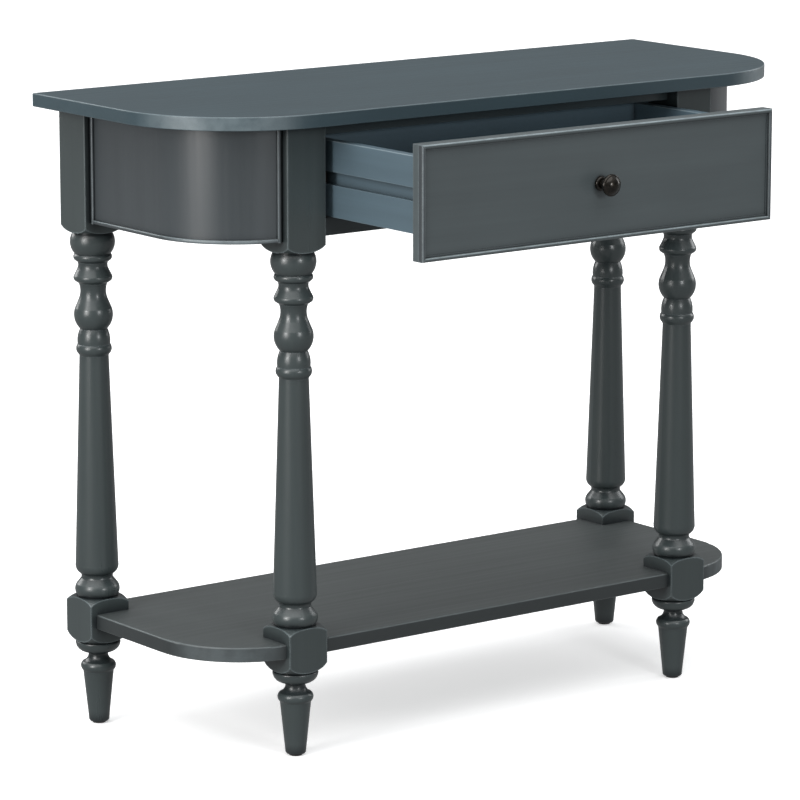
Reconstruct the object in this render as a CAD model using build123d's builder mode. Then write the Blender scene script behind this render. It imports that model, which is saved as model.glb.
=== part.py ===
from build123d import *
from math import sqrt
import os

# Console table with one drawer, a lower shelf and four turned legs.
#
# The frame: X runs along the table's length, -Y is the front, where the drawer opens, and +Z is up.
# The origin is on the floor, below the middle of the table top. The drawer stands open.

# ---------------------------------------------------------------- driving dimensions, millimetres
LENGTH = 914.0
DEPTH = 350.0
HEIGHT = 762.0
TOP_THICKNESS = 16.0
TOP_CORNER_RADIUS = 156.5

POST = 54.0                      # square stock that each leg is turned from
POST_EDGE_RADIUS = 1.2
FRONT_LEG = (-290.0, -111.0)     # axis of the front left leg
BACK_LEG = (-395.0, 147.0)       # axis of the back left leg

APRON_BOTTOM = 611.0
APRON_THICKNESS = 15.0
APRON_FACE_X = -416.0            # face of the bead on the left side apron
APRON_RADIUS = 113.0             # of the bead's face, in plan
APRON_CENTRE_Y = -18.0
BEAD_WIDTH = 5.0
BEAD_DEPTH = 7.5
BEAD_PROUD = 3.5
BEAD_NOSE = 2.0
BEAD_GAP = 1.6                   # shadow line between an upright bead and its post

UPPER_RAIL_HEIGHT = 18.0
LOWER_RAIL_HEIGHT = 22.0
RAIL_DEPTH = 20.0
RAIL_SETBACK = 18.6              # from the front of the posts
BACK_APRON_DEPTH = 16.0
BACK_APRON_SETBACK = 2.0

SHELF_HALF_LENGTH = 414.0
SHELF_FRONT = -132.0
SHELF_BACK = 168.0
SHELF_TOP = 140.5
SHELF_THICKNESS = 17.5
SHELF_CORNER_RADIUS = 113.0

GLIDE_RADIUS = 8.0
GLIDE_HEIGHT = 2.5

OPENING = 176.0                  # how far the drawer stands out of the table
FRONT_HALF_WIDTH = 259.3
FRONT_BOTTOM = 606.0
FRONT_TOP = 738.0
FRONT_THICKNESS = 14.0
COCKBEAD_WIDTH = 5.0
COCKBEAD_DEPTH = 8.0
COCKBEAD_PROUD = 4.0
COCKBEAD_NOSE = 2.3
STEP_WIDTH = 2.2                 # thin step that runs round the panel inside the bead
STEP_PROUD = 0.8
BOX_HALF_WIDTH = 252.0
BOX_LENGTH = 224.0
BOX_BOTTOM = 635.0
BOX_TOP = 723.0
BOX_THICKNESS = 12.0
GROOVE_BOTTOM = 672.0
GROOVE_HEIGHT = 15.0
GROOVE_DEPTH = 6.0
BOTTOM_PANEL_Z = 641.0
BOTTOM_PANEL_THICKNESS = 5.0
BOTTOM_PANEL_TONGUE = 5.0

RUNNER_HEIGHT = 14.0
RUNNER_TOP_GAP = 0.4
RUNNER_SIDE_GAP = 1.0
RUNNER_PANEL_THICKNESS = 15.0

DOWEL_RADIUS = 3.0
DOWEL_LENGTH = 30.0
DRAWER_DOWEL_LENGTH = 20.0
SCREW_RADIUS = 2.0
SCREW_HEAD_RADIUS = 4.0
SCREW_LENGTH = 30.0
FIT_GAP = 0.05                   # round a dowel or a screw in its hole

# ---------------------------------------------------------------- places that follow from them
UNDERSIDE = HEIGHT - TOP_THICKNESS
HALF_POST = POST / 2
POST_FRONT = FRONT_LEG[1] - HALF_POST
POST_BACK = FRONT_LEG[1] + HALF_POST
JAMB_X = -(FRONT_LEG[0] + HALF_POST)          # inner faces of the front posts, at plus and minus
OUTER_JAMB_X = FRONT_LEG[0] - HALF_POST
BACK_POST_FRONT = BACK_LEG[1] - HALF_POST
BACK_JAMB_X = -(BACK_LEG[0] + HALF_POST)
RAIL_FRONT = POST_FRONT + RAIL_SETBACK
RAIL_BACK = RAIL_FRONT + RAIL_DEPTH
RAIL_MIDDLE = (RAIL_FRONT + RAIL_BACK) / 2
BACK_APRON_FRONT = BACK_LEG[1] + HALF_POST - BACK_APRON_SETBACK - BACK_APRON_DEPTH
APRON_CENTRE = (APRON_FACE_X + APRON_RADIUS, APRON_CENTRE_Y)
PANEL_MIDDLE_X = APRON_FACE_X + BEAD_PROUD + APRON_THICKNESS / 2
SHELF_MIDDLE_Z = SHELF_TOP - SHELF_THICKNESS / 2

BEAD_FACE_Y = POST_FRONT - OPENING            # front of the open drawer's bead
PANEL_FACE_Y = BEAD_FACE_Y + COCKBEAD_PROUD
FRONT_BACK_Y = PANEL_FACE_Y + FRONT_THICKNESS
BOX_BACK_Y = FRONT_BACK_Y + BOX_LENGTH
BOX_INSIDE_X = BOX_HALF_WIDTH - BOX_THICKNESS
GROOVE_TOP = GROOVE_BOTTOM + GROOVE_HEIGHT
FRONT_MIDDLE_Z = (FRONT_BOTTOM + FRONT_TOP) / 2

X_AXIS = (1, 0, 0)
Y_AXIS = (0, 1, 0)

# Turned outline of a leg from the foot up, as (radius, height). Each stroke is a straight line to
# one point, or an arc through the first of two points to the second.
SQUARE_RADIUS = 39.0             # just outside the corners of the square stock
LEG_OUTLINE = [
    [(11.0, GLIDE_HEIGHT)],
    [(12.1, 4.0)],
    # tapered foot, its collar and the cove above it
    [(18.3, 64.5)],
    [(18.9, 65.8)],
    [(21.1, 70.9), (18.8, 76.0)],
    [(13.4, 80.2), (11.7, 85.2)],
    [(12.8, 87.6), (15.6, 88.6)],
    [(23.6, 92.4), (26.7, 98.6)],
    [(26.3, 101.6), (24.6, 102.8)],
    # square block that carries the shelf, with its turned shoulders
    [(25.8, 103.0)],
    [(33.6, 108.0), (SQUARE_RADIUS, 115.6)],
    [(SQUARE_RADIUS, 149.2)],
    [(32.8, 154.9), (25.4, 157.6)],
    [(23.8, 157.7)],
    # flattened bulb, neck and long tapered shaft
    [(26.6, 164.0), (25.0, 172.0)],
    [(19.6, 178.8)],
    [(18.8, 181.6), (19.8, 184.6)],
    [(23.8, 188.4), (25.6, 196.8)],
    [(17.4, 449.0)],
    [(18.4, 450.8)],
    # collar and barrel
    [(21.2, 457.2), (19.9, 461.8)],
    [(19.3, 462.4)],
    [(19.4, 470.0), (16.2, 481.0)],
    # vase, its slim neck and the flared cup
    [(23.1, 496.8), (21.9, 505.4)],
    [(17.6, 515.6)],
    [(15.4, 523.4), (16.0, 532.6)],
    [(17.0, 535.6)],
    [(21.6, 538.6)],
    [(23.0, 541.8), (22.0, 545.4)],
    [(18.8, 552.0)],
    [(17.3, 557.0), (17.9, 560.8)],
    # thin ring and ball
    [(20.8, 562.8)],
    [(22.9, 566.6), (21.3, 570.6)],
    [(26.6, 583.4), (23.6, 596.0)],
    # square post
    [(24.8, 596.4)],
    [(33.6, 600.6), (SQUARE_RADIUS, 605.8)],
    [(SQUARE_RADIUS, UNDERSIDE)],
]

# Middle and direction of each dowel in the left half of the table
LEFT_DOWELS = (
    [(-JAMB_X, RAIL_MIDDLE, z, X_AXIS) for z in (APRON_BOTTOM + 10, UNDERSIDE - 9)]
    + [(-BACK_JAMB_X, BACK_APRON_FRONT + BACK_APRON_DEPTH / 2, z, X_AXIS) for z in (640, 717)]
    + [(PANEL_MIDDLE_X, BACK_POST_FRONT, z, Y_AXIS) for z in (640, 717)]
    + [(OUTER_JAMB_X, -117, z, X_AXIS) for z in (640, 717)]
    + [(-JAMB_X - RUNNER_PANEL_THICKNESS / 2, POST_BACK, z, Y_AXIS) for z in (650, 710)]
    + [(-JAMB_X - RUNNER_PANEL_THICKNESS / 2, BACK_APRON_FRONT - 5, z, Y_AXIS) for z in (650, 710)]
    + [
        (-JAMB_X, FRONT_LEG[1], SHELF_MIDDLE_Z, X_AXIS),
        (FRONT_LEG[0], POST_BACK, SHELF_MIDDLE_Z, Y_AXIS),
        (BACK_LEG[0], BACK_POST_FRONT, SHELF_MIDDLE_Z, Y_AXIS),
        (-BACK_JAMB_X, BACK_LEG[1], SHELF_MIDDLE_Z, X_AXIS),
    ]
)
TABLE_DOWELS = [
    Plane(origin=(side * x, y, z), z_dir=axis)
    for side in (1, -1)
    for x, y, z, axis in LEFT_DOWELS
]
DRAWER_DOWELS = [
    Plane(origin=(side * x, y, z), z_dir=axis)
    for side in (1, -1)
    for z in (BOX_BOTTOM + 22, BOX_TOP - 18)
    for x, y, axis in (
        (BOX_HALF_WIDTH - BOX_THICKNESS / 2, FRONT_BACK_Y + 1, Y_AXIS),
        (BOX_INSIDE_X - 2, BOX_BACK_Y - BOX_THICKNESS / 2, X_AXIS),
    )
]

CLEAT = 20.0
SIDE_CLEAT_LENGTH = 80.0
BACK_CLEAT_LENGTH = 300.0
SIDE_CLEAT_CENTRE = (PANEL_MIDDLE_X + APRON_THICKNESS / 2 + CLEAT / 2, 50.0)
BACK_CLEAT_Y = BACK_APRON_FRONT - CLEAT / 2
# Foot of each screw that holds the table top: two in each cleat, two in the upper rail
TOP_SCREWS = [
    Plane(origin=(side * x, y, z))
    for side in (1, -1)
    for x, y, z in (
        (SIDE_CLEAT_CENTRE[0], SIDE_CLEAT_CENTRE[1] - 25, UNDERSIDE - CLEAT),
        (SIDE_CLEAT_CENTRE[0], SIDE_CLEAT_CENTRE[1] + 25, UNDERSIDE - CLEAT),
        (100.0, BACK_CLEAT_Y, UNDERSIDE - CLEAT),
        (180.0, RAIL_MIDDLE, UNDERSIDE - UPPER_RAIL_HEIGHT),
    )
]

RUNNER_TOP = GROOVE_TOP - RUNNER_TOP_GAP
RUNNER_INSIDE_X = BOX_HALF_WIDTH - GROOVE_DEPTH + RUNNER_SIDE_GAP
RUNNER_FRONT = RAIL_FRONT + 1.4
RUNNER_LENGTH = 240.0
RUNNER_SCREW_LENGTH = 27.0
RUNNER_SCREWS = [
    Plane(
        origin=(side * RUNNER_INSIDE_X, y, RUNNER_TOP - RUNNER_HEIGHT / 2),
        z_dir=(side, 0, 0),
    )
    for side in (1, -1)
    for y in (POST_BACK + 20, 20.0, 110.0)
]

STOP_LENGTH = 40.0
STOP_HEIGHT = 13.0
STOP_SCREW_LENGTH = 26.0
STOP_SCREWS = [
    Plane(origin=(x, BOX_BACK_Y - BOX_THICKNESS / 2, BOX_TOP + STOP_HEIGHT), z_dir=(0, 0, -1))
    for x in (-12, 12)
]

KNOB_PLANE = Plane(origin=(0, PANEL_FACE_Y, FRONT_MIDDLE_Z), x_dir=X_AXIS, z_dir=(0, 0, 1))
KNOB_AXIS = Axis((0, PANEL_FACE_Y, FRONT_MIDDLE_Z), (0, -1, 0))
KNOB_SCREW = Plane(origin=(0, FRONT_BACK_Y, FRONT_MIDDLE_Z), z_dir=(0, -1, 0))
KNOB_SCREW_LENGTH = 28.0
STEM_RADIUS = 5.0
ROSETTE_THICKNESS = 4.0
DOME_BASE_RADIUS = 10.8
DOME_RISE = 5.2
DOME_RADIUS = (DOME_BASE_RADIUS**2 + DOME_RISE**2) / (2 * DOME_RISE)


# ---------------------------------------------------------------- helpers
def save(piece, name):
    """Label a finished piece and write its STEP file."""
    piece.label = name
    export_step(piece, f"parts/{name}.step")


def save_pair(piece, name):
    """Write a left-hand piece, and its mirror image for the right-hand side."""
    save(piece, f"left_{name}")
    with BuildPart() as twin:
        mirror(piece, about=Plane.YZ)
    save(twin.part, f"right_{name}")


def block(x_range, y_range, z_range, mode=Mode.ADD):
    """Add a rectangular block between two corners to the part being built."""
    low = [min(span) for span in (x_range, y_range, z_range)]
    high = [max(span) for span in (x_range, y_range, z_range)]
    middle = [(a + b) / 2 for a, b in zip(low, high)]
    with Locations(tuple(middle)):
        Box(*[b - a for a, b in zip(low, high)], mode=mode)


def pegs(planes, length, gap=0.0, mode=Mode.ADD):
    """Add round dowels at the planes, or with a gap and Mode.SUBTRACT drill their holes."""
    with Locations(*planes):
        Cylinder(DOWEL_RADIUS + gap, length + 10 * gap, mode=mode)


def screws(planes, length, gap=0.0, mode=Mode.ADD):
    """Add countersunk screws that start at the planes, or cut the holes that they fit."""
    head_height = 2.5
    head = SCREW_HEAD_RADIUS + gap
    shank = SCREW_RADIUS + gap
    for plane in planes:
        with Locations(plane):
            Cylinder(shank, length + 10 * gap, align=(Align.CENTER, Align.CENTER, Align.MIN), mode=mode)
            Cone(head, shank, head_height, align=(Align.CENTER, Align.CENTER, Align.MIN), mode=mode)


def apron_plan(setback):
    """Add what lies behind the side apron's face, moved in by the setback, to the sketch."""
    radius = APRON_RADIUS - setback
    with Locations(APRON_CENTRE):
        Circle(radius)
        Rectangle(radius, BACK_POST_FRONT - APRON_CENTRE_Y, align=(Align.MAX, Align.MIN))


def apron_wall(front_setback, back_setback, bottom, top):
    """Return a curved wall of the left side apron, from the back post to the front post."""
    with BuildPart() as wall:
        with BuildSketch(Plane.XY.offset(bottom)):
            apron_plan(front_setback)
        extrude(amount=top - bottom)
        with BuildSketch(Plane.XY.offset(bottom)):
            apron_plan(back_setback)
        extrude(amount=top - bottom, mode=Mode.SUBTRACT)
        block((OUTER_JAMB_X, 0), (-DEPTH, DEPTH), (0, HEIGHT), Mode.SUBTRACT)
    return wall.part


# ---------------------------------------------------------------- table top
os.makedirs("parts", exist_ok=True)

with BuildPart() as table_top:
    with BuildSketch(Plane.XY.offset(UNDERSIDE)) as plan:
        Rectangle(LENGTH, DEPTH)
        fillet(plan.vertices().group_by(Axis.Y)[0], TOP_CORNER_RADIUS)
    extrude(amount=TOP_THICKNESS)
    fillet(table_top.faces().sort_by(Axis.Z)[-1].edges(), 1.6)
    fillet(table_top.faces().sort_by(Axis.Z)[0].edges(), 1.0)
    screws(TOP_SCREWS, SCREW_LENGTH, FIT_GAP, Mode.SUBTRACT)
save(table_top.part, "table_top")

# ---------------------------------------------------------------- turned legs
for leg_name, (leg_x, leg_y) in {"front_leg": FRONT_LEG, "back_leg": BACK_LEG}.items():
    with BuildPart() as leg:
        with BuildSketch(Plane(origin=(leg_x, leg_y, 0), x_dir=X_AXIS, z_dir=(0, -1, 0))):
            with BuildLine():
                foot = (0, GLIDE_HEIGHT)
                point = foot
                for *through, end in LEG_OUTLINE:
                    if through:
                        ThreePointArc(point, through[0], end)
                    else:
                        Line(point, end)
                    point = end
                Line(point, (0, UNDERSIDE))
                Line((0, UNDERSIDE), foot)
            make_face()
        revolve(axis=Axis((leg_x, leg_y, 0), (0, 0, 1)))
        with BuildSketch(Plane(origin=(leg_x, leg_y, 0))):
            RectangleRounded(POST, POST, POST_EDGE_RADIUS)
        extrude(amount=UNDERSIDE, mode=Mode.INTERSECT)
        pegs(TABLE_DOWELS, DOWEL_LENGTH, FIT_GAP, Mode.SUBTRACT)
        with Locations((leg_x, leg_y, GLIDE_HEIGHT)):
            Cylinder(1.5 + FIT_GAP, 30, mode=Mode.SUBTRACT)
    save_pair(leg.part, leg_name)

with BuildPart() as foot_glides:
    for side in (1, -1):
        for leg_x, leg_y in (FRONT_LEG, BACK_LEG):
            with Locations((side * leg_x, leg_y, 0)):
                Cylinder(GLIDE_RADIUS, GLIDE_HEIGHT, align=(Align.CENTER, Align.CENTER, Align.MIN))
                Cylinder(1.5, GLIDE_HEIGHT + 14, align=(Align.CENTER, Align.CENTER, Align.MIN))
    fillet(foot_glides.faces().group_by(Axis.Z)[0].edges(), 0.8)
save(foot_glides.part, "foot_glides")

# ---------------------------------------------------------------- side aprons and their beads
def on_apron_face(edge):
    """True for an edge that lies on the outermost face of the left side apron's beads."""
    point = edge @ 0.5
    if point.Y > APRON_CENTRE_Y:
        return abs(point.X - APRON_FACE_X) < 0.01
    reach = sqrt((point.X - APRON_CENTRE[0]) ** 2 + (point.Y - APRON_CENTRE[1]) ** 2)
    return abs(reach - APRON_RADIUS) < 0.01


def upright(edge):
    """True for an edge that stands along Z."""
    return abs((edge @ 0).Z - (edge @ 1).Z) > 1


BACK_BEAD_Y = (BACK_POST_FRONT - BEAD_GAP - BEAD_WIDTH, BACK_POST_FRONT - BEAD_GAP)
FRONT_BEAD_X = (OUTER_JAMB_X - BEAD_GAP - BEAD_WIDTH, OUTER_JAMB_X - BEAD_GAP)

with BuildPart() as bottom_bead:
    add(apron_wall(0, BEAD_DEPTH, APRON_BOTTOM, APRON_BOTTOM + BEAD_WIDTH))
    block((-LENGTH, 0), (BACK_BEAD_Y[0], DEPTH), (0, HEIGHT), Mode.SUBTRACT)
    block((FRONT_BEAD_X[0], 0), (-DEPTH, 0), (0, HEIGHT), Mode.SUBTRACT)
    fillet(bottom_bead.edges().filter_by(on_apron_face).filter_by(lambda e: not upright(e)), BEAD_NOSE)

with BuildPart() as back_bead:
    block((APRON_FACE_X, APRON_FACE_X + BEAD_DEPTH), BACK_BEAD_Y, (APRON_BOTTOM, UNDERSIDE))
    fillet(back_bead.edges().filter_by(on_apron_face).filter_by(upright), BEAD_NOSE)

with BuildPart() as front_bead:
    add(apron_wall(0, BEAD_DEPTH, APRON_BOTTOM, UNDERSIDE))
    block(FRONT_BEAD_X, (-DEPTH, 0), (0, HEIGHT), Mode.INTERSECT)
    fillet(front_bead.edges().filter_by(on_apron_face).filter_by(upright), BEAD_NOSE)

save_pair(bottom_bead.part, "apron_bead_bottom")
save_pair(back_bead.part, "apron_bead_back")
save_pair(front_bead.part, "apron_bead_front")

with BuildPart() as side_apron:
    add(apron_wall(BEAD_PROUD, BEAD_PROUD + APRON_THICKNESS, APRON_BOTTOM, UNDERSIDE))
    for bead in (bottom_bead, back_bead, front_bead):
        add(bead.part, mode=Mode.SUBTRACT)
    pegs(TABLE_DOWELS, DOWEL_LENGTH, FIT_GAP, Mode.SUBTRACT)
save_pair(side_apron.part, "side_apron")

# ---------------------------------------------------------------- back apron and front rails
with BuildPart() as back_apron:
    block(
        (-BACK_JAMB_X, BACK_JAMB_X),
        (BACK_APRON_FRONT, BACK_APRON_FRONT + BACK_APRON_DEPTH),
        (APRON_BOTTOM, UNDERSIDE),
    )
    chamfer(back_apron.faces().sort_by(Axis.Z)[0].edges().filter_by(Axis.X), 1.0)
    pegs(TABLE_DOWELS, DOWEL_LENGTH, FIT_GAP, Mode.SUBTRACT)
save(back_apron.part, "back_apron")

for rail_name, rail_ends in {
    "front_lower_rail": (APRON_BOTTOM, APRON_BOTTOM + LOWER_RAIL_HEIGHT),
    "front_upper_rail": (UNDERSIDE - UPPER_RAIL_HEIGHT, UNDERSIDE),
}.items():
    with BuildPart() as rail:
        block((-JAMB_X, JAMB_X), (RAIL_FRONT, RAIL_BACK), rail_ends)
        fillet(rail.edges().filter_by(Axis.X), 1.0)
        pegs(TABLE_DOWELS, DOWEL_LENGTH, FIT_GAP, Mode.SUBTRACT)
        screws(TOP_SCREWS, SCREW_LENGTH, FIT_GAP, Mode.SUBTRACT)
    save(rail.part, rail_name)

# ---------------------------------------------------------------- what carries the drawer
with BuildPart() as runner_panel:
    block(
        (-JAMB_X - RUNNER_PANEL_THICKNESS, -JAMB_X),
        (POST_BACK, BACK_APRON_FRONT),
        (APRON_BOTTOM + 20, UNDERSIDE - 20),
    )
    pegs(TABLE_DOWELS, DOWEL_LENGTH, FIT_GAP, Mode.SUBTRACT)
    screws(RUNNER_SCREWS, RUNNER_SCREW_LENGTH, FIT_GAP, Mode.SUBTRACT)
save_pair(runner_panel.part, "runner_panel")

with BuildPart() as runner:
    block(
        (-JAMB_X, -RUNNER_INSIDE_X),
        (RUNNER_FRONT, RUNNER_FRONT + RUNNER_LENGTH),
        (RUNNER_TOP - RUNNER_HEIGHT, RUNNER_TOP),
    )
    chamfer(runner.faces().sort_by(Axis.X)[-1].edges(), 0.8)
    screws(RUNNER_SCREWS, RUNNER_SCREW_LENGTH, FIT_GAP, Mode.SUBTRACT)
save_pair(runner.part, "runner")

with BuildPart() as runner_screws:
    screws(RUNNER_SCREWS, RUNNER_SCREW_LENGTH)
save(runner_screws.part, "runner_screws")

# ---------------------------------------------------------------- cleats, dowels, top screws
cleat_x, cleat_y = SIDE_CLEAT_CENTRE
with BuildPart() as side_cleat:
    block(
        (cleat_x - CLEAT / 2, cleat_x + CLEAT / 2),
        (cleat_y - SIDE_CLEAT_LENGTH / 2, cleat_y + SIDE_CLEAT_LENGTH / 2),
        (UNDERSIDE - CLEAT, UNDERSIDE),
    )
    screws(TOP_SCREWS, SCREW_LENGTH, FIT_GAP, Mode.SUBTRACT)
save_pair(side_cleat.part, "side_cleat")

with BuildPart() as back_cleat:
    block(
        (-BACK_CLEAT_LENGTH / 2, BACK_CLEAT_LENGTH / 2),
        (BACK_APRON_FRONT - CLEAT, BACK_APRON_FRONT),
        (UNDERSIDE - CLEAT, UNDERSIDE),
    )
    screws(TOP_SCREWS, SCREW_LENGTH, FIT_GAP, Mode.SUBTRACT)
save(back_cleat.part, "back_cleat")

with BuildPart() as top_screws:
    screws(TOP_SCREWS, SCREW_LENGTH)
save(top_screws.part, "top_screws")

with BuildPart() as table_dowels:
    pegs(TABLE_DOWELS, DOWEL_LENGTH)
save(table_dowels.part, "table_dowels")

# ---------------------------------------------------------------- lower shelf
with BuildPart() as lower_shelf:
    with BuildSketch(Plane.XY.offset(SHELF_TOP - SHELF_THICKNESS)) as shelf_plan:
        with Locations((0, (SHELF_FRONT + SHELF_BACK) / 2)):
            Rectangle(2 * SHELF_HALF_LENGTH, SHELF_BACK - SHELF_FRONT)
        fillet(shelf_plan.vertices().group_by(Axis.Y)[0], SHELF_CORNER_RADIUS)
    extrude(amount=SHELF_THICKNESS)
    fillet(lower_shelf.edges().group_by(Axis.Z)[-1], 2.0)
    fillet(lower_shelf.edges().group_by(Axis.Z)[0], 1.0)
    for side in (1, -1):
        for leg_x, leg_y in (FRONT_LEG, BACK_LEG):
            block(
                (side * leg_x - HALF_POST, side * leg_x + HALF_POST),
                (leg_y - HALF_POST, leg_y + HALF_POST),
                (0, UNDERSIDE),
                Mode.SUBTRACT,
            )
    pegs(TABLE_DOWELS, DOWEL_LENGTH, FIT_GAP, Mode.SUBTRACT)
save(lower_shelf.part, "lower_shelf")

# ---------------------------------------------------------------- drawer front and its beads
BEAD_BACK_Y = BEAD_FACE_Y + COCKBEAD_DEPTH
outer = [
    (-FRONT_HALF_WIDTH, FRONT_BOTTOM),
    (FRONT_HALF_WIDTH, FRONT_BOTTOM),
    (FRONT_HALF_WIDTH, FRONT_TOP),
    (-FRONT_HALF_WIDTH, FRONT_TOP),
]
inner = [
    (x - COCKBEAD_WIDTH * (1 if x > 0 else -1), z + COCKBEAD_WIDTH * (1 if z < FRONT_MIDDLE_Z else -1))
    for x, z in outer
]
bead_names = ("bottom", "right", "top", "left")
cockbeads = []
for i, bead_name in enumerate(bead_names):
    with BuildPart() as cockbead:
        with BuildSketch(Plane.XZ.offset(-BEAD_BACK_Y)):
            Polygon(outer[i], outer[(i + 1) % 4], inner[(i + 1) % 4], inner[i], align=None)
        extrude(amount=COCKBEAD_DEPTH)
        fillet(cockbead.faces().sort_by(Axis.Y)[0].edges().sort_by(SortBy.LENGTH)[-2:], COCKBEAD_NOSE)
    save(cockbead.part, f"drawer_bead_{bead_name}")
    cockbeads.append(cockbead.part)

with BuildPart() as drawer_front:
    block(
        (-FRONT_HALF_WIDTH, FRONT_HALF_WIDTH),
        (PANEL_FACE_Y, FRONT_BACK_Y),
        (FRONT_BOTTOM, FRONT_TOP),
    )
    block(
        (inner[0][0], inner[1][0]),
        (PANEL_FACE_Y - STEP_PROUD, PANEL_FACE_Y),
        (inner[0][1], inner[2][1]),
    )
    block(
        (inner[0][0] + STEP_WIDTH, inner[1][0] - STEP_WIDTH),
        (PANEL_FACE_Y - STEP_PROUD, PANEL_FACE_Y),
        (inner[0][1] + STEP_WIDTH, inner[2][1] - STEP_WIDTH),
        Mode.SUBTRACT,
    )
    for cockbead in cockbeads:
        add(cockbead, mode=Mode.SUBTRACT)
    block(
        (-BOX_INSIDE_X - BOTTOM_PANEL_TONGUE, BOX_INSIDE_X + BOTTOM_PANEL_TONGUE),
        (FRONT_BACK_Y - BOTTOM_PANEL_TONGUE, FRONT_BACK_Y),
        (BOTTOM_PANEL_Z, BOTTOM_PANEL_Z + BOTTOM_PANEL_THICKNESS),
        Mode.SUBTRACT,
    )
    pegs(DRAWER_DOWELS, DRAWER_DOWEL_LENGTH, FIT_GAP, Mode.SUBTRACT)
    screws([KNOB_SCREW], KNOB_SCREW_LENGTH, FIT_GAP, Mode.SUBTRACT)
save(drawer_front.part, "drawer_front")

# ---------------------------------------------------------------- drawer box
with BuildPart() as drawer_side:
    block((-BOX_HALF_WIDTH, -BOX_INSIDE_X), (FRONT_BACK_Y, BOX_BACK_Y), (BOX_BOTTOM, BOX_TOP))
    fillet(drawer_side.faces().sort_by(Axis.Z)[-1].edges().filter_by(Axis.Y), 1.5)
    block(
        (-BOX_HALF_WIDTH, -BOX_HALF_WIDTH + GROOVE_DEPTH),
        (FRONT_BACK_Y, BOX_BACK_Y),
        (GROOVE_BOTTOM, GROOVE_TOP),
        Mode.SUBTRACT,
    )
    block(
        (-BOX_INSIDE_X - BOTTOM_PANEL_TONGUE, -BOX_INSIDE_X),
        (FRONT_BACK_Y, BOX_BACK_Y),
        (BOTTOM_PANEL_Z, BOTTOM_PANEL_Z + BOTTOM_PANEL_THICKNESS),
        Mode.SUBTRACT,
    )
    pegs(DRAWER_DOWELS, DRAWER_DOWEL_LENGTH, FIT_GAP, Mode.SUBTRACT)
save_pair(drawer_side.part, "drawer_side")

with BuildPart() as drawer_back:
    block(
        (-BOX_INSIDE_X, BOX_INSIDE_X),
        (BOX_BACK_Y - BOX_THICKNESS, BOX_BACK_Y),
        (BOTTOM_PANEL_Z + BOTTOM_PANEL_THICKNESS, BOX_TOP),
    )
    pegs(DRAWER_DOWELS, DRAWER_DOWEL_LENGTH, FIT_GAP, Mode.SUBTRACT)
    screws(STOP_SCREWS, STOP_SCREW_LENGTH, FIT_GAP, Mode.SUBTRACT)
save(drawer_back.part, "drawer_back")

with BuildPart() as drawer_bottom:
    block(
        (-BOX_INSIDE_X - BOTTOM_PANEL_TONGUE, BOX_INSIDE_X + BOTTOM_PANEL_TONGUE),
        (FRONT_BACK_Y - BOTTOM_PANEL_TONGUE, BOX_BACK_Y),
        (BOTTOM_PANEL_Z, BOTTOM_PANEL_Z + BOTTOM_PANEL_THICKNESS),
    )
save(drawer_bottom.part, "drawer_bottom")

with BuildPart() as drawer_dowels:
    pegs(DRAWER_DOWELS, DRAWER_DOWEL_LENGTH)
save(drawer_dowels.part, "drawer_dowels")

with BuildPart() as drawer_stop:
    block(
        (-STOP_LENGTH / 2, STOP_LENGTH / 2),
        (BOX_BACK_Y - BOX_THICKNESS, BOX_BACK_Y),
        (BOX_TOP, BOX_TOP + STOP_HEIGHT),
    )
    chamfer(drawer_stop.faces().sort_by(Axis.Z)[-1].edges(), 1.0)
    screws(STOP_SCREWS, STOP_SCREW_LENGTH, FIT_GAP, Mode.SUBTRACT)
save(drawer_stop.part, "drawer_stop")

with BuildPart() as stop_screws:
    screws(STOP_SCREWS, STOP_SCREW_LENGTH)
save(stop_screws.part, "stop_screws")

# ---------------------------------------------------------------- knob
with BuildPart() as knob:
    with BuildSketch(KNOB_PLANE):
        with BuildLine():
            Line((0, 0), (STEM_RADIUS, 0))
            Line((STEM_RADIUS, 0), (STEM_RADIUS, -6))
            ThreePointArc((STEM_RADIUS, -6), (5.9, -10.5), (8.6, -13.6))
            Line((8.6, -13.6), (8.6, -14.6))
            Line((8.6, -14.6), (11.2, -15.2))
            Line((11.2, -15.2), (11.2, -16.4))
            ThreePointArc((11.2, -16.4), (13.0, -18.9), (11.6, -21.6))
            Line((11.6, -21.6), (DOME_BASE_RADIUS, -21.8))
            RadiusArc((DOME_BASE_RADIUS, -21.8), (0, -21.8 - DOME_RISE), DOME_RADIUS)
            Line((0, -21.8 - DOME_RISE), (0, 0))
        make_face()
    revolve(axis=KNOB_AXIS)
    screws([KNOB_SCREW], KNOB_SCREW_LENGTH, FIT_GAP, Mode.SUBTRACT)
save(knob.part, "knob")

with BuildPart() as knob_rosette:
    with BuildSketch(KNOB_PLANE):
        with BuildLine():
            Polyline((STEM_RADIUS + FIT_GAP, 0), (8.6, 0), (8.6, -1.4))
            ThreePointArc((8.6, -1.4), (7.6, -3.4), (STEM_RADIUS + FIT_GAP, -ROSETTE_THICKNESS))
            Line((STEM_RADIUS + FIT_GAP, -ROSETTE_THICKNESS), (STEM_RADIUS + FIT_GAP, 0))
        make_face()
    revolve(axis=KNOB_AXIS)
save(knob_rosette.part, "knob_rosette")

with BuildPart() as knob_screw:
    screws([KNOB_SCREW], KNOB_SCREW_LENGTH)
save(knob_screw.part, "knob_screw")
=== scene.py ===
import math

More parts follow.
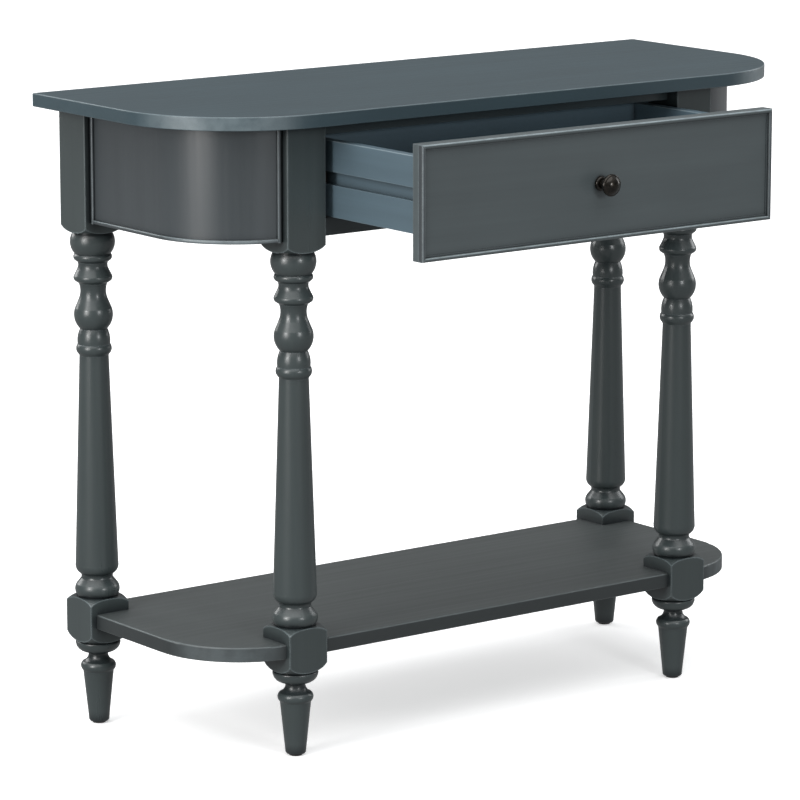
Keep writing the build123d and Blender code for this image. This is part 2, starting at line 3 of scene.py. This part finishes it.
import bpy
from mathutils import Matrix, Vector

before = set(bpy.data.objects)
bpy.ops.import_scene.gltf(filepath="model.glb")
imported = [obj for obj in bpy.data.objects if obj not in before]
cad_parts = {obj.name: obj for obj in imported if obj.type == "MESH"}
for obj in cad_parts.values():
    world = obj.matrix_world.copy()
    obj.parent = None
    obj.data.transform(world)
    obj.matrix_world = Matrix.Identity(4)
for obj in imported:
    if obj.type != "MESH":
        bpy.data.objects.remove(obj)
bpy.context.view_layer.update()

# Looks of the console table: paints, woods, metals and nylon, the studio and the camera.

SCENE = bpy.context.scene
MIX_FACTOR, MIX_A, MIX_B, MIX_RESULT = 0, 6, 7, 2    # a colour Mix node's sockets


# ---------------------------------------------------------------- node helpers
class Tree:
    """A material's node tree, with short ways to add and join nodes."""

    def __init__(self, name):
        self.material = bpy.data.materials.new(name)
        self.material.use_nodes = True
        self.nodes = self.material.node_tree.nodes
        self.links = self.material.node_tree.links
        self.nodes.clear()
        output = self.nodes.new("ShaderNodeOutputMaterial")
        self.shader = self.nodes.new("ShaderNodeBsdfPrincipled")
        self.links.new(self.shader.outputs[0], output.inputs[0])
        self.place = self.nodes.new("ShaderNodeTexCoord").outputs["Object"]

    def put(self, value, socket):
        """Join an output to a socket, or set the socket to a number or colour."""
        if isinstance(value, bpy.types.NodeSocket):
            self.links.new(value, socket)
        else:
            socket.default_value = value

    def feed(self, **inputs):
        """Join outputs to the shader, or set its own sockets: Base_Color=tone, Metallic=1.0."""
        for socket, value in inputs.items():
            self.put(value, self.shader.inputs[socket.replace("_", " ")])

    def stretched(self, scale, offset=(0, 0, 0)):
        """The surface's own coordinates, scaled along each axis."""
        node = self.nodes.new("ShaderNodeMapping")
        self.links.new(self.place, node.inputs["Vector"])
        node.inputs["Scale"].default_value = scale
        node.inputs["Location"].default_value = offset
        return node.outputs[0]

    def noise(self, vector, scale, detail=4.0, rough=0.55, warp=0.0):
        node = self.nodes.new("ShaderNodeTexNoise")
        self.links.new(vector, node.inputs["Vector"])
        node.inputs["Scale"].default_value = scale
        node.inputs["Detail"].default_value = detail
        node.inputs["Roughness"].default_value = rough
        node.inputs["Distortion"].default_value = warp
        return node.outputs["Fac"]

    def remap(self, value, low, high, to_low=0.0, to_high=1.0):
        """Spread the stretch low..high of a value over to_low..to_high, and clip the rest."""
        node = self.nodes.new("ShaderNodeMapRange")
        self.put(value, node.inputs["Value"])
        node.inputs["From Min"].default_value = low
        node.inputs["From Max"].default_value = high
        node.inputs["To Min"].default_value = to_low
        node.inputs["To Max"].default_value = to_high
        return node.outputs[0]

    def math(self, operation, a, b=0.0):
        node = self.nodes.new("ShaderNodeMath")
        node.operation = operation
        self.put(a, node.inputs[0])
        self.put(b, node.inputs[1])
        return node.outputs[0]

    def mix(self, factor, a, b):
        """Blend colour a with colour b."""
        node = self.nodes.new("ShaderNodeMix")
        node.data_type = "RGBA"
        self.put(factor, node.inputs[MIX_FACTOR])
        self.put(a, node.inputs[MIX_A])
        self.put(b, node.inputs[MIX_B])
        return node.outputs[MIX_RESULT]

    def bump(self, height, strength, distance, normal=None):
        node = self.nodes.new("ShaderNodeBump")
        node.inputs["Strength"].default_value = strength
        node.inputs["Distance"].default_value = distance
        self.put(height, node.inputs["Height"])
        if normal is not None:
            self.links.new(normal, node.inputs["Normal"])
        return node.outputs[0]

    def normal(self):
        """X, Y and Z of the surface's normal."""
        split = self.nodes.new("ShaderNodeSeparateXYZ")
        geometry = self.nodes.new("ShaderNodeNewGeometry")
        self.links.new(geometry.outputs["Normal"], split.inputs[0])
        return split.outputs

    def edges(self, radius, sharp, smooth=0.985):
        """1 along sharp edges, 0 elsewhere. Sharp and smooth are the cosines of the angle between
        the surface's normal and its average over the radius that give 1 and 0."""
        bevel = self.nodes.new("ShaderNodeBevel")
        bevel.samples = 6
        bevel.inputs["Radius"].default_value = radius
        geometry = self.nodes.new("ShaderNodeNewGeometry")
        dot = self.nodes.new("ShaderNodeVectorMath")
        dot.operation = "DOT_PRODUCT"
        self.links.new(bevel.outputs[0], dot.inputs[0])
        self.links.new(geometry.outputs["Normal"], dot.inputs[1])
        return self.remap(dot.outputs["Value"], smooth, sharp)

    def crests(self):
        """1 on the small rounds between an upright face and a level one, or between two upright
        faces at a right angle, and 0 on those faces: where the painted highlights go."""
        x, y, z = self.normal()
        upper = self.math("MULTIPLY", self.remap(z, 0.10, 0.45), self.remap(z, 0.97, 0.80))
        corner = self.math("ABSOLUTE", self.math("MULTIPLY", x, y))
        return self.math("MAXIMUM", upper, self.remap(corner, 0.12, 0.40))

    def upright(self):
        """1 on upright faces, 0 on level and sloping ones."""
        return self.remap(self.math("ABSOLUTE", self.normal()["Z"]), 0.40, 0.10)

    def hollows(self, reach):
        """1 in tight hollows and along seams, 0 on open faces."""
        node = self.nodes.new("ShaderNodeAmbientOcclusion")
        node.samples = 6
        node.inputs["Distance"].default_value = reach
        return self.remap(node.outputs["AO"], 0.45, 0.97, 1.0, 0.0)


def along_grain(grain_axis, across, along):
    """Scales that draw a pattern out along one axis."""
    return [along if axis == grain_axis else across for axis in "XYZ"]


# ---------------------------------------------------------------- finishes
GLAZE_AND_SHADE = (0.012, 0.016, 0.018, 1)        # dark wax in hollows and seams, also painted shade there and on upright board faces
RUB_AND_HIGHLIGHT = (0.30, 0.36, 0.38, 1)          # paint rubbed thin over an edge, and the painted highlight on rounds
GLAZE_AND_SHADE_COVER = 0.72
RUB_COVER = 0.42


def paint(name, grain_axis, tones, rough=0.36, rub=1.0, crest_highlight=0.0, glaze_and_shade=1.0, edge=0.0022,
          hollow_reach=0.009, coat_rough=0.30, upright_shade=0.0):
    """Satin paint over wood: soft brushed streaks along the grain, dark wax in the hollows and seams
    that is partly painted shade (glaze_and_shade), a light rub along sharp edges and, on a board or a
    bead, a painted highlight along its upward rounds and upright corners (crest_highlight). Edge and
    hollow_reach are metres; upright_shade is painted shade that darkens a board's upright faces."""
    tree = Tree(name)
    base, deep, light = tones
    fine = along_grain(grain_axis, 160.0, 4.0)
    broad = along_grain(grain_axis, 26.0, 2.2)
    streaks = tree.noise(tree.stretched(fine), 1.0, 6.0, 0.6, 0.3)
    drifts = tree.noise(tree.stretched(broad, (3.1, 1.7, 0.4)), 1.0, 3.0, 0.5, 0.6)
    clouds = tree.noise(tree.place, 7.0, 3.0, 0.5)
    tone = tree.mix(tree.remap(streaks, 0.30, 0.72, 0.0, 0.22), base, deep)
    tone = tree.mix(tree.remap(drifts, 0.42, 0.75, 0.0, 0.26), tone, light)
    tone = tree.mix(tree.remap(clouds, 0.35, 0.70, 0.0, 0.22), tone, deep)
    # Painted shade: a board's upright faces darkened with the wax colour.
    if upright_shade:
        tone = tree.mix(tree.math("MULTIPLY", tree.upright(), upright_shade), tone, GLAZE_AND_SHADE)
    # Dark wax in hollows and seams, partly painted shade where shade falls there.
    hollow = tree.hollows(hollow_reach)
    tone = tree.mix(tree.math("MULTIPLY", hollow, GLAZE_AND_SHADE_COVER * glaze_and_shade), tone, GLAZE_AND_SHADE)

    lighter_edges = tree.math("MULTIPLY", tree.edges(edge, 0.86), RUB_COVER * rub)
    # Painted highlight on upward rounds and upright corners, in the rubbed-paint colour.
    if crest_highlight:
        lighter_edges = tree.math("MAXIMUM", lighter_edges, tree.math("MULTIPLY", tree.crests(), crest_highlight))
    patchy = tree.remap(tree.noise(tree.place, 60.0, 5.0, 0.6), 0.35, 0.62, 0.55, 1.0)
    lighter_edges = tree.math("MULTIPLY", lighter_edges, patchy)
    lighter_edges = tree.math("MULTIPLY", lighter_edges, tree.remap(hollow, 0.0, 0.40, 1.0, 0.0))
    tone = tree.mix(lighter_edges, tone, RUB_AND_HIGHLIGHT)

    sheen = tree.noise(tree.stretched(fine, (1, 2, 3)), 0.7, 4.0)
    brushed = tree.bump(streaks, 0.10, 0.0004)
    orange_peel = tree.noise(tree.place, 420.0, 2.0, 0.5)
    tree.feed(
        Base_Color=tone,
        Roughness=tree.remap(sheen, 0.3, 0.7, rough - 0.05, rough + 0.07),
        Normal=tree.bump(orange_peel, 0.035, 0.0003, brushed),
        Specular_IOR_Level=0.5,
        Coat_Weight=0.30,
        Coat_Roughness=coat_rough,
    )
    return tree.material


def bare_wood(name, grain_axis, pale, dark):
    """Plain sanded hardwood with fine grain along one axis."""
    tree = Tree(name)
    grain = along_grain(grain_axis, 90.0, 3.0)
    rings = tree.noise(tree.stretched(grain), 1.0, 7.0, 0.62, 0.8)
    pores = tree.noise(tree.stretched([6 * scale for scale in grain]), 1.0, 3.0, 0.6)
    pore_tone = [0.45 * level for level in dark[:3]] + [1]
    tone = tree.mix(tree.remap(rings, 0.32, 0.68), pale, dark)
    tone = tree.mix(tree.remap(pores, 0.58, 0.72, 0.0, 0.5), tone, pore_tone)
    tree.feed(
        Base_Color=tone,
        Roughness=tree.remap(rings, 0.3, 0.7, 0.52, 0.70),
        Normal=tree.bump(rings, 0.15, 0.0004),
    )
    return tree.material


def bronze(name):
    """Oil-rubbed bronze: near black, with warmer metal where hands wear the raised rims."""
    tree = Tree(name)
    mottle = tree.noise(tree.place, 320.0, 5.0, 0.6)
    oil, metal, worn_metal = (0.012, 0.011, 0.009, 1), (0.034, 0.028, 0.022, 1), (0.14, 0.10, 0.07, 1)
    tone = tree.mix(tree.remap(mottle, 0.35, 0.70), oil, metal)
    lighter_edges = tree.math("MULTIPLY", tree.edges(0.0009, 0.85), 0.35)
    tree.feed(
        Base_Color=tree.mix(lighter_edges, tone, worn_metal),
        Metallic=0.85,
        Roughness=tree.remap(mottle, 0.3, 0.7, 0.20, 0.34),
        Normal=tree.bump(mottle, 0.06, 0.0002),
        Coat_Weight=0.35,
        Coat_Roughness=0.12,
    )
    return tree.material


def steel(name):
    """Zinc-plated steel with fine turning marks."""
    tree = Tree(name)
    marks = tree.noise(tree.stretched((900, 900, 120)), 1.0, 4.0)
    tree.feed(
        Base_Color=tree.mix(tree.remap(marks, 0.3, 0.7), (0.40, 0.40, 0.39, 1), (0.56, 0.55, 0.50, 1)),
        Metallic=1.0,
        Roughness=tree.remap(marks, 0.3, 0.7, 0.28, 0.45),
    )
    return tree.material


def nylon(name):
    """Dark moulded nylon with a faint texture."""
    tree = Tree(name)
    speck = tree.noise(tree.place, 900.0, 3.0)
    tone = tree.mix(tree.remap(speck, 0.4, 0.7), (0.030, 0.028, 0.027, 1), (0.055, 0.052, 0.050, 1))
    tree.feed(
        Base_Color=tone,
        Roughness=tree.remap(speck, 0.3, 0.7, 0.45, 0.6),
        Normal=tree.bump(speck, 0.1, 0.0002),
    )
    return tree.material


# ---------------------------------------------------------------- materials
def shades(red, green, blue):
    """A paint's middle, deep and light tones."""
    return [(red * k, green * k, blue * k, 1) for k in (1.0, 0.66, 1.35)]


TOP_PAINT = shades(0.036, 0.064, 0.078)
SHELF_PAINT = shades(0.060, 0.070, 0.070)
PANEL_PAINT = shades(0.056, 0.066, 0.072)
FRONT_PAINT = shades(0.087, 0.106, 0.111)
RAIL_PAINT = shades(0.034, 0.048, 0.052)
LEG_PAINT = shades(0.052, 0.066, 0.067)
BOX_PAINT = shades(0.095, 0.144, 0.176)
BEAD = {"rub": 1.2, "glaze_and_shade": 1.4}
BOX = {"rough": 0.5, "rub": 0.6, "crest_highlight": 0.55, "glaze_and_shade": 0.9}
PALE_WOOD = ((0.42, 0.29, 0.17, 1), (0.27, 0.17, 0.09, 1))
# Near-black wood for the runners: painted shade standing for the shade inside the case.
SHADE_DARK_WOOD = ((0.055, 0.042, 0.032, 1), (0.030, 0.022, 0.016, 1))

FINISHES = {
    paint("table_top_paint", "X", TOP_PAINT, rough=0.42, crest_highlight=0.34): ["table_top"],
    paint("shelf_paint", "X", SHELF_PAINT, rough=0.48, crest_highlight=0.2, coat_rough=0.42, upright_shade=0.6):
        ["lower_shelf"],
    paint("drawer_front_paint", "X", FRONT_PAINT, glaze_and_shade=1.35): ["drawer_front"],
    paint("rail_paint", "X", RAIL_PAINT): ["back_apron", "front_lower_rail", "front_upper_rail"],
    paint("side_apron_paint", "Z", PANEL_PAINT): ["left_side_apron", "right_side_apron"],
    paint("bead_paint_along_x", "X", FRONT_PAINT, crest_highlight=1.0, **BEAD):
        ["drawer_bead_top", "drawer_bead_bottom"],
    paint("bead_paint_along_y", "Y", PANEL_PAINT, crest_highlight=0.6, **BEAD):
        ["left_apron_bead_bottom", "right_apron_bead_bottom"],
    paint("bead_paint_upright", "Z", PANEL_PAINT, crest_highlight=0.35, **BEAD): [
        "left_apron_bead_back", "right_apron_bead_back", "left_apron_bead_front",
        "right_apron_bead_front", "drawer_bead_left", "drawer_bead_right",
    ],
    paint("leg_paint", "Z", LEG_PAINT, rough=0.32, rub=1.5, glaze_and_shade=2.0, edge=0.0035,
          hollow_reach=0.016, coat_rough=0.22):
        ["left_front_leg", "right_front_leg", "left_back_leg", "right_back_leg"],
    paint("drawer_box_paint_along_x", "X", BOX_PAINT, **BOX): ["drawer_back", "drawer_bottom"],
    paint("drawer_box_paint_along_y", "Y", BOX_PAINT, **BOX):
        ["left_drawer_side", "right_drawer_side", "left_runner_panel", "right_runner_panel"],
    bare_wood("wood_grain_x", "X", *PALE_WOOD):
        ["back_cleat", "drawer_stop", "table_dowels", "drawer_dowels"],
    bare_wood("wood_grain_y", "Y", *PALE_WOOD): ["left_side_cleat", "right_side_cleat"],
    # Runners: painted shade, near black like the shade inside the case.
    bare_wood("shade_dark_runner_wood", "Y", *SHADE_DARK_WOOD): ["left_runner", "right_runner"],
    bronze("oil_rubbed_bronze"): ["knob", "knob_rosette"],
    steel("zinc_plated_steel"): ["top_screws", "runner_screws", "stop_screws", "knob_screw"],
    nylon("dark_nylon"): ["foot_glides"],
}
for material, names in FINISHES.items():
    for name in names:
        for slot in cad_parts[name].material_slots:
            slot.material = material


# ---------------------------------------------------------------- studio
FLOOR_REACH = 30.0                      # metres
FLOOR_RINGS = 12
FLOOR_SPOKES = 64
FLOOR_GLOW = 0.45


def stage_floor():
    """A wide, plain, pale floor: a round sheet of rings about the table."""
    vertices = [(0.0, 0.0, 0.0)]
    for i in range(1, FLOOR_RINGS + 1):
        radius = FLOOR_REACH * (i / FLOOR_RINGS) ** 2
        for k in range(FLOOR_SPOKES):
            angle = 2 * math.pi * k / FLOOR_SPOKES
            vertices.append((radius * math.cos(angle), radius * math.sin(angle), 0.0))
    faces = [(0, 1 + k, 1 + (k + 1) % FLOOR_SPOKES) for k in range(FLOOR_SPOKES)]
    for i in range(FLOOR_RINGS - 1):
        inner, outer = 1 + i * FLOOR_SPOKES, 1 + (i + 1) * FLOOR_SPOKES
        for k in range(FLOOR_SPOKES):
            n = (k + 1) % FLOOR_SPOKES
            faces.append((inner + k, outer + k, outer + n, inner + n))
    mesh = bpy.data.meshes.new("studio_floor")
    mesh.from_pydata(vertices, [], faces)
    mesh.update()
    floor = bpy.data.objects.new("studio_floor", mesh)
    SCENE.collection.objects.link(floor)
    tree = Tree("studio_paper")
    mottle = tree.noise(tree.place, 3.0, 2.0)
    tree.feed(
        Base_Color=tree.mix(tree.remap(mottle, 0.3, 0.7), (0.92, 0.92, 0.92, 1), (0.94, 0.94, 0.94, 1)),
        Roughness=0.95,
        Specular_IOR_Level=0.05,
        Emission_Color=(1, 1, 1, 1),
        Emission_Strength=FLOOR_GLOW,
    )
    mesh.materials.append(tree.material)
    floor.visible_diffuse = False
    floor.visible_glossy = False


def lamp(name, kind, place, target, power, colour=(1, 1, 1)):
    """A lamp at a place, turned towards the target."""
    data = bpy.data.lights.new(name, kind)
    data.energy = power
    data.color = colour
    holder = bpy.data.objects.new(name, data)
    holder.location = place
    holder.rotation_euler = (Vector(target) - Vector(place)).to_track_quat("-Z", "Y").to_euler()
    SCENE.collection.objects.link(holder)
    return data


def softbox(name, place, size, power, colour=(1, 1, 1)):
    """An area lamp that faces the middle of the table."""
    data = lamp(name, "AREA", place, (0, -0.05, 0.45), power, colour)
    data.shape = "RECTANGLE"
    data.size, data.size_y = size


WARM = (1.0, 0.985, 0.97)
COOL = (0.97, 0.985, 1.0)

stage_floor()
lamp("overhead_sun", "SUN", (-1.2, -0.8, 4.0), (0, 0, 0), 1.6).angle = math.radians(80)
softbox("left_panel", (-2.5, -0.42, 1.10), (1.1, 1.5), 25, WARM)
softbox("left_softbox", (-2.9, -0.40, 1.25), (0.40, 0.40), 12)
softbox("front_softbox", (-0.25, -3.0, 1.25), (0.55, 0.55), 18, COOL)
softbox("right_softbox", (2.9, -0.2, 1.3), (1.2, 1.4), 15, COOL)
softbox("back_softbox", (-0.9, 3.0, 1.6), (1.6, 1.6), 26)

# The studio's air is a faintly blue grey. Each pair is a height, from 0 straight down to 1
# straight up, and the brightness there.
AIR = [(0.0, 0.34), (0.46, 0.32), (0.56, 0.10), (0.78, 0.42), (0.96, 0.95)]

world = bpy.data.worlds.new("studio_air")
world.use_nodes = True
air = world.node_tree
split = air.nodes.new("ShaderNodeSeparateXYZ")
air.links.new(air.nodes.new("ShaderNodeTexCoord").outputs["Generated"], split.inputs[0])
height = air.nodes.new("ShaderNodeMapRange")
height.inputs["From Min"].default_value = -1.0
air.links.new(split.outputs["Z"], height.inputs["Value"])
ramp = air.nodes.new("ShaderNodeValToRGB")
air.links.new(height.outputs[0], ramp.inputs[0])
while len(ramp.color_ramp.elements) < len(AIR):
    ramp.color_ramp.elements.new(0.5)
for stop, (position, level) in zip(ramp.color_ramp.elements, AIR):
    stop.position = position
    stop.color = [level * tint for tint in COOL] + [1]
air.links.new(ramp.outputs[0], air.nodes["Background"].inputs["Color"])
SCENE.world = world
SCENE.view_settings.view_transform = "Standard"

# ---------------------------------------------------------------- camera
CAMERA_PLACE = (-3.1075, -4.0278, 1.3913)
CAMERA_PITCH = -11.353                  # degrees from level
CAMERA_HEADING = -37.177                # degrees from +Y, clockwise is negative
CAMERA_LENS = 192.455                   # millimetres
CAMERA_SENSOR = 36.0

camera_data = bpy.data.cameras.new("camera")
camera_data.sensor_width = CAMERA_SENSOR
camera_data.lens = CAMERA_LENS
camera_data.clip_end = 100.0
camera = bpy.data.objects.new("camera", camera_data)
camera.location = CAMERA_PLACE
camera.rotation_euler = (math.radians(90 + CAMERA_PITCH), 0, math.radians(CAMERA_HEADING))
SCENE.collection.objects.link(camera)
SCENE.camera = camera
